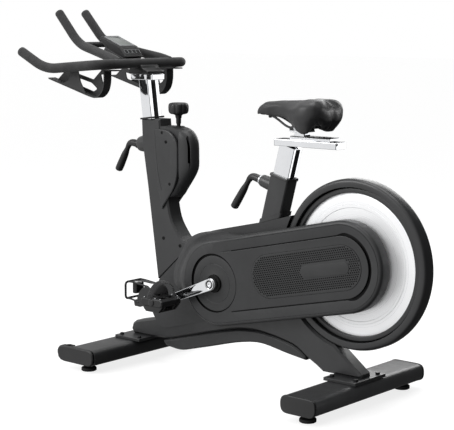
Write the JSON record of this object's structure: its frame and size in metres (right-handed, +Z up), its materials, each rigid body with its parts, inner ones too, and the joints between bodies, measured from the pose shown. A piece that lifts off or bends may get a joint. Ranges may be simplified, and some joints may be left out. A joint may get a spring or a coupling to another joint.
{
  "type": "exercise bike",
  "caption": "Upright indoor exercise bike with a belt-driven rear flywheel in a fixed ring, sliding saddle, height-adjustable handlebar, forearm bars, display and toe-cage pedals.",
  "frame": {"origin": "on the floor, at the middle of the bounding box in plan", "axes": "+X towards the rear of the bike, -X the way the rider faces; +Y towards the rider's right; +Z up"},
  "size_m": [1.4939, 0.56, 1.1622],
  "materials": {
    "frame_paint": "satin charcoal powder coat",
    "cover_plastic": "satin charcoal moulding",
    "black_plastic": "fine grained black moulding",
    "gloss_black": "polished black moulding",
    "chrome_bright": "polished plate",
    "flywheel_steel": "turned and plated",
    "dark_steel": "blackened",
    "grip_foam": "open cell foam sleeve",
    "black_rubber": "moulded rubber",
    "saddle_vinyl": "soft grained vinyl",
    "grey_panel": "light grey moulding",
    "strap_web": "woven webbing",
    "silver_badge": "blank silver plate",
    "screen_glass": "grey display window"
  },
  "bodies": {
    "frame": {"main_beam": "frame_paint", "lower_cover": "cover_plastic", "front_stabilizer": "frame_paint", "rear_stabilizer": "frame_paint", "left_front_end_cap": "black_plastic", "right_front_end_cap": "black_plastic", "left_rear_end_cap": "black_plastic", "right_rear_end_cap": "black_plastic", "wheel_ring": "frame_paint", "drive_belt": "black_rubber", "drive_fork": "dark_steel", "left_body_shell": "cover_plastic", "right_body_shell": "cover_plastic", "belt_cover": "cover_plastic", "crank_cover": "cover_plastic", "perforated_panel": "black_plastic", "right_cover": "cover_plastic", "front_column": "frame_paint", "left_column_cover": "cover_plastic", "right_column_cover": "cover_plastic", "resistance_housing": "cover_plastic", "seat_tube": "frame_paint"},
    "crank": {"crank_axle": "dark_steel", "drive_pulley": "black_plastic", "left_crank_arm": "chrome_bright", "right_crank_arm": "chrome_bright"},
    "flywheel_set": {"flywheel": "flywheel_steel", "flywheel_axle": "chrome_bright", "flywheel_pulley": "dark_steel"},
    "left_pedal_set": {"left_pedal": "black_plastic", "left_toe_cage": "black_plastic"},
    "right_pedal_set": {"right_pedal": "black_plastic", "right_toe_cage": "black_plastic"},
    "magnet_swing": {"magnet_arm": "dark_steel"},
    "knob": {"resistance_knob": "gloss_black"},
    "front_lever": {"front_clamp_lever": "black_plastic"},
    "rear_lever": {"rear_clamp_lever": "black_plastic"},
    "handlebar_set": {"front_post": "chrome_bright", "handlebar": "grip_foam", "aero_bars": "grip_foam", "console_housing": "black_plastic", "console_screen": "screen_glass", "left_holder": "frame_paint", "right_holder": "frame_paint"},
    "seat_post_set": {"seat_post": "chrome_bright"},
    "saddle_set": {"slide_block": "chrome_bright", "saddle_rails": "dark_steel", "saddle": "saddle_vinyl", "saddle_base": "black_plastic"},
    "left_wheel": {"left_transport_wheel": "black_rubber"},
    "right_wheel": {"right_transport_wheel": "black_rubber"},
    "left_front_foot_turn": {"left_front_foot": "black_rubber"},
    "right_front_foot_turn": {"right_front_foot": "black_rubber"},
    "left_rear_foot_turn": {"left_rear_foot": "black_rubber"},
    "right_rear_foot_turn": {"right_rear_foot": "black_rubber"},
    "button_1": {"console_button_1": "black_rubber"},
    "button_2": {"console_button_2": "black_rubber"},
    "button_3": {"console_button_3": "black_rubber"},
    "button_4": {"console_button_4": "black_rubber"}
  },
  "joints": [
    {"name": "crank_turn", "type": "hinge", "parent": "frame", "child": "crank", "pos_m": [0.00195, 0, 0.313], "axis": [0, -1, 0], "continuous": true},
    {"name": "flywheel_turn", "type": "hinge", "parent": "frame", "child": "flywheel_set", "pos_m": [0.49295, 0, 0.421], "axis": [0, -1, 0], "continuous": true},
    {"name": "left_pedal_turn", "type": "hinge", "parent": "crank", "child": "left_pedal_set", "pos_m": [-0.15567, -0.15, 0.24932], "axis": [0, -1, 0], "continuous": true},
    {"name": "right_pedal_turn", "type": "hinge", "parent": "crank", "child": "right_pedal_set", "pos_m": [0.15957, 0.15, 0.37668], "axis": [0, -1, 0], "continuous": true},
    {"name": "handlebar_height", "type": "slide", "parent": "frame", "child": "handlebar_set", "axis": [-0.1305, 0, 0.9914], "range_m": [-0.1, 0.06]},
    {"name": "seat_height", "type": "slide", "parent": "frame", "child": "seat_post_set", "axis": [0.2588, 0, 0.9659], "range_m": [-0.07, 0.06]},
    {"name": "seat_fore_aft", "type": "slide", "parent": "seat_post_set", "child": "saddle_set", "axis": [1, 0, 0], "range_m": [-0.05, 0.02]},
    {"name": "front_clamp_turn", "type": "hinge", "parent": "frame", "child": "front_lever", "pos_m": [-0.39365, 0, 0.723], "axis": [-0.9937, 0, 0.112], "range_deg": [-90, 90]},
    {"name": "rear_clamp_turn", "type": "hinge", "parent": "frame", "child": "rear_lever", "pos_m": [0.1463, 0, 0.639], "axis": [-0.9659, 0, 0.2588], "range_deg": [-90, 90]},
    {"name": "resistance_turn", "type": "hinge", "parent": "frame", "child": "knob", "pos_m": [-0.21505, 0, 0.85], "axis": [0, 0, 1], "range_deg": [0, 1080]},
    {"name": "magnet_swing_turn", "type": "hinge", "parent": "frame", "child": "magnet_swing", "pos_m": [0.35395, -0.022, 0.391], "axis": [0, -1, 0], "range_deg": [0, 12]},
    {"name": "left_wheel_turn", "type": "hinge", "parent": "frame", "child": "left_wheel", "pos_m": [-0.49305, -0.257, 0.05], "axis": [0, -1, 0], "continuous": true},
    {"name": "left_front_foot_spin", "type": "hinge", "parent": "frame", "child": "left_front_foot_turn", "pos_m": [-0.39705, -0.2385, 0.012], "axis": [0, 0, 1], "continuous": true},
    {"name": "left_rear_foot_spin", "type": "hinge", "parent": "frame", "child": "left_rear_foot_turn", "pos_m": [0.49995, -0.2385, 0.012], "axis": [0, 0, 1], "continuous": true},
    {"name": "right_wheel_turn", "type": "hinge", "parent": "frame", "child": "right_wheel", "pos_m": [-0.49305, 0.257, 0.05], "axis": [0, -1, 0], "continuous": true},
    {"name": "right_front_foot_spin", "type": "hinge", "parent": "frame", "child": "right_front_foot_turn", "pos_m": [-0.39705, 0.2385, 0.012], "axis": [0, 0, 1], "continuous": true},
    {"name": "right_rear_foot_spin", "type": "hinge", "parent": "frame", "child": "right_rear_foot_turn", "pos_m": [0.49995, 0.2385, 0.012], "axis": [0, 0, 1], "continuous": true},
    {"name": "button_1_press", "type": "slide", "parent": "handlebar_set", "child": "button_1", "axis": [-0.7638, 0, -0.6455], "range_m": [0, 0.0015], "stiffness_N_per_m": 400},
    {"name": "button_2_press", "type": "slide", "parent": "handlebar_set", "child": "button_2", "axis": [-0.7638, 0, -0.6455], "range_m": [0, 0.0015], "stiffness_N_per_m": 400},
    {"name": "button_3_press", "type": "slide", "parent": "handlebar_set", "child": "button_3", "axis": [-0.7638, 0, -0.6455], "range_m": [0, 0.0015], "stiffness_N_per_m": 400},
    {"name": "button_4_press", "type": "slide", "parent": "handlebar_set", "child": "button_4", "axis": [-0.7638, 0, -0.6455], "range_m": [0, 0.0015], "stiffness_N_per_m": 400}
  ],
  "couplings": [
    {"joint": "flywheel_turn", "follows": "crank_turn", "ratio": 4},
    {"joint": "magnet_swing_turn", "follows": "resistance_turn", "ratio": 0.011111}
  ]
}
